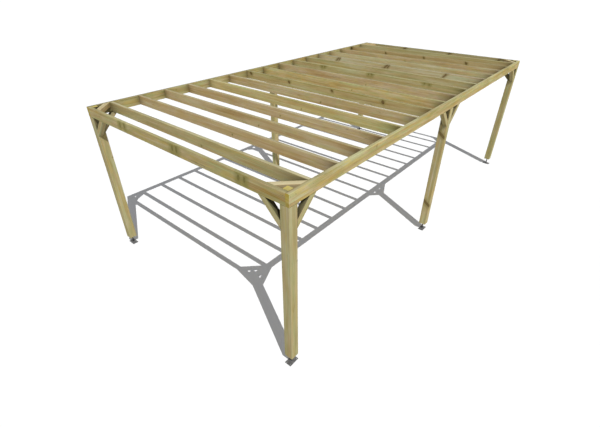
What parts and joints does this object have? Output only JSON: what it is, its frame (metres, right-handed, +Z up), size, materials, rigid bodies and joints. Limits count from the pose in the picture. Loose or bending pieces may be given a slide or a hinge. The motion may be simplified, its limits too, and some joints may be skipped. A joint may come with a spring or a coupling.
{
  "type": "freestanding garden pergola",
  "caption": "Freestanding timber pergola: open roof of flush rafters between beams, on square posts with knee braces and raised steel feet.",
  "frame": {"origin": "on the ground at the centre of the footprint", "axes": "+Y along the length, front at -Y; +X across the width, to the right seen from the front; +Z up"},
  "size_m": [4.03, 7.83, 2.507],
  "materials": {
    "post_timber": "planed, green-treated softwood",
    "beam_timber": "planed, green-treated softwood",
    "rafter_timber": "planed, green-treated softwood",
    "brace_timber": "planed, green-treated softwood",
    "foot_steel": "dark grey coated steel"
  },
  "bodies": {
    "root": {"front_left_post": "post_timber", "front_right_post": "post_timber", "middle_left_post": "post_timber", "middle_right_post": "post_timber", "back_left_post": "post_timber", "back_right_post": "post_timber", "front_left_foot": "foot_steel", "front_right_foot": "foot_steel", "middle_left_foot": "foot_steel", "middle_right_foot": "foot_steel", "back_left_foot": "foot_steel", "back_right_foot": "foot_steel", "front_beam": "beam_timber", "back_beam": "beam_timber", "left_beam": "beam_timber", "right_beam": "beam_timber", "rafter_01": "rafter_timber", "rafter_02": "rafter_timber", "rafter_03": "rafter_timber", "rafter_04": "rafter_timber", "rafter_05": "rafter_timber", "rafter_06": "rafter_timber", "rafter_07": "rafter_timber", "rafter_08": "rafter_timber", "rafter_09": "rafter_timber", "rafter_10": "rafter_timber", "rafter_11": "rafter_timber", "rafter_12": "rafter_timber", "rafter_13": "rafter_timber", "rafter_14": "rafter_timber", "rafter_15": "rafter_timber", "rafter_16": "rafter_timber", "front_left_knee_braces": "brace_timber", "front_right_knee_braces": "brace_timber", "middle_left_knee_braces": "brace_timber", "middle_right_knee_braces": "brace_timber", "back_left_knee_braces": "brace_timber", "back_right_knee_braces": "brace_timber", "front_left_corner_brace": "brace_timber", "front_right_corner_brace": "brace_timber", "back_left_corner_brace": "brace_timber", "back_right_corner_brace": "brace_timber"}
  },
  "joints": []
}
